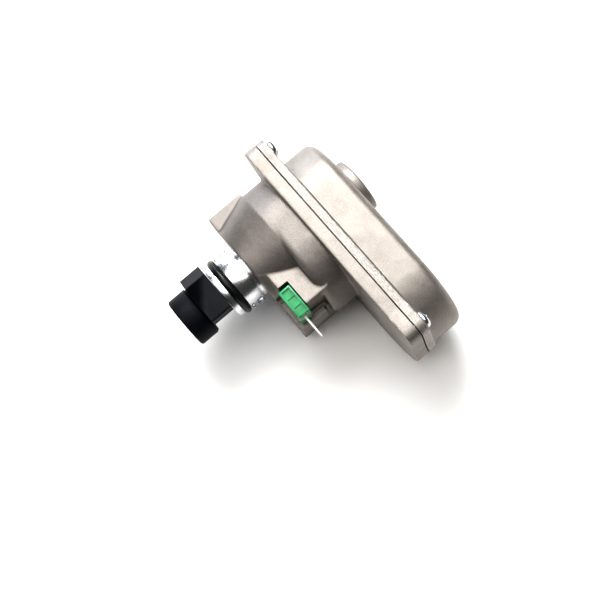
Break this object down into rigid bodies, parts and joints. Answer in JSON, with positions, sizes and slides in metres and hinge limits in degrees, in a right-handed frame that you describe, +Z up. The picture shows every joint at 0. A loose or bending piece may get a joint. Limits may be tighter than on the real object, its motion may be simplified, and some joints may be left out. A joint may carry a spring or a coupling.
{
  "type": "motorised actuator head",
  "caption": "Geared-motor actuator head: die-cast two-part housing, plated spigot with sealing ring and a black drive block on a quarter-turn output shaft.",
  "frame": {"origin": "under the middle of the object's box, on the surface that it lies on", "axes": "-Y out of the nose along the output shaft, +Y to the rear cover, +X along the flange from the output to the motor, +Z up from the floor"},
  "size_m": [0.1112, 0.0972, 0.057],
  "materials": {
    "cast_alloy": "as-cast, satin",
    "zinc_plate": "bright zinc plated",
    "chrome": "polished plating",
    "steel": "turned",
    "brass": "machined",
    "black_rubber": "oiled, glossy",
    "black_plastic": "moulded, satin",
    "white_plastic": "moulded",
    "green_plastic": "moulded, slightly clear",
    "gasket_fibre": "pressed fibre, dull",
    "board_laminate": "solder-resist green",
    "blue_sleeve": "moulded sleeve"
  },
  "bodies": {
    "housing": {"front_housing": "cast_alloy", "rear_cover": "cast_alloy", "cover_screw_1": "zinc_plate", "cover_screw_2": "zinc_plate", "cover_screw_3": "zinc_plate", "cover_screw_4": "zinc_plate", "gear_plate": "zinc_plate", "motor_can": "zinc_plate", "plate_pillar_1": "zinc_plate", "plate_pillar_2": "zinc_plate", "plate_pillar_3": "zinc_plate", "plate_pillar_4": "zinc_plate", "nose_spigot": "chrome", "spigot_retaining_ring": "steel", "first_axle": "steel", "second_axle": "steel", "plate_screw_1": "steel", "plate_screw_2": "steel", "plate_screw_3": "steel", "plate_screw_4": "steel", "motor_screw_1": "steel", "motor_screw_2": "steel", "board_screw_1": "steel", "board_screw_2": "steel", "nose_bush": "brass", "rear_bush": "brass", "spigot_o_ring": "black_rubber", "shaft_seal": "black_rubber", "limit_switch_a": "black_plastic", "limit_switch_b": "black_plastic", "board_connector": "white_plastic", "contact_pin": "white_plastic", "terminal_plug": "green_plastic", "cover_gasket": "gasket_fibre", "circuit_board": "board_laminate", "board_capacitor": "blue_sleeve", "motor_lead_1": "blue_sleeve", "motor_lead_2": "blue_sleeve"},
    "output": {"output_shaft": "steel", "output_gear": "brass", "switch_cam_a": "white_plastic", "switch_cam_b": "white_plastic", "thrust_washer": "steel", "drive_block": "black_plastic", "drive_hub": "black_plastic", "hub_screw": "steel"},
    "second_gear": {"second_pinion": "steel", "second_wheel": "brass"},
    "first_gear": {"first_pinion": "steel", "first_wheel": "white_plastic"},
    "rotor": {"motor_shaft": "steel", "motor_pinion": "brass"},
    "button_a": {"switch_button_a": "white_plastic"},
    "button_b": {"switch_button_b": "white_plastic"}
  },
  "joints": [
    {"name": "output_turn", "type": "hinge", "parent": "housing", "child": "output", "pos_m": [-0.0221, 0.0226, 0.0285], "axis": [0, 1, 0], "range_deg": [0, 90]},
    {"name": "second_gear_turn", "type": "hinge", "parent": "housing", "child": "second_gear", "pos_m": [-0.00156, 0.0226, 0.03287], "axis": [0, 1, 0], "range_deg": [-330.5, 0.5]},
    {"name": "first_gear_turn", "type": "hinge", "parent": "housing", "child": "first_gear", "pos_m": [0.01554, 0.0226, 0.03252], "axis": [0, 1, 0], "range_deg": [-0.5, 1238]},
    {"name": "rotor_turn", "type": "hinge", "parent": "housing", "child": "rotor", "pos_m": [0.0279, 0.0226, 0.0285], "axis": [0, 1, 0], "range_deg": [-4126, 0.5]},
    {"name": "switch_a_press", "type": "slide", "parent": "housing", "child": "button_a", "axis": [1, 0, 0], "range_m": [0, 0.0008], "stiffness_N_per_m": 500, "springref_m": -0.0004},
    {"name": "switch_b_press", "type": "slide", "parent": "housing", "child": "button_b", "axis": [1, 0, 0], "range_m": [0, 0.0008], "stiffness_N_per_m": 500, "springref_m": -0.0004}
  ],
  "couplings": [
    {"joint": "second_gear_turn", "follows": "output_turn", "ratio": -3.6667},
    {"joint": "first_gear_turn", "follows": "output_turn", "ratio": 13.75},
    {"joint": "rotor_turn", "follows": "output_turn", "ratio": -45.833}
  ]
}
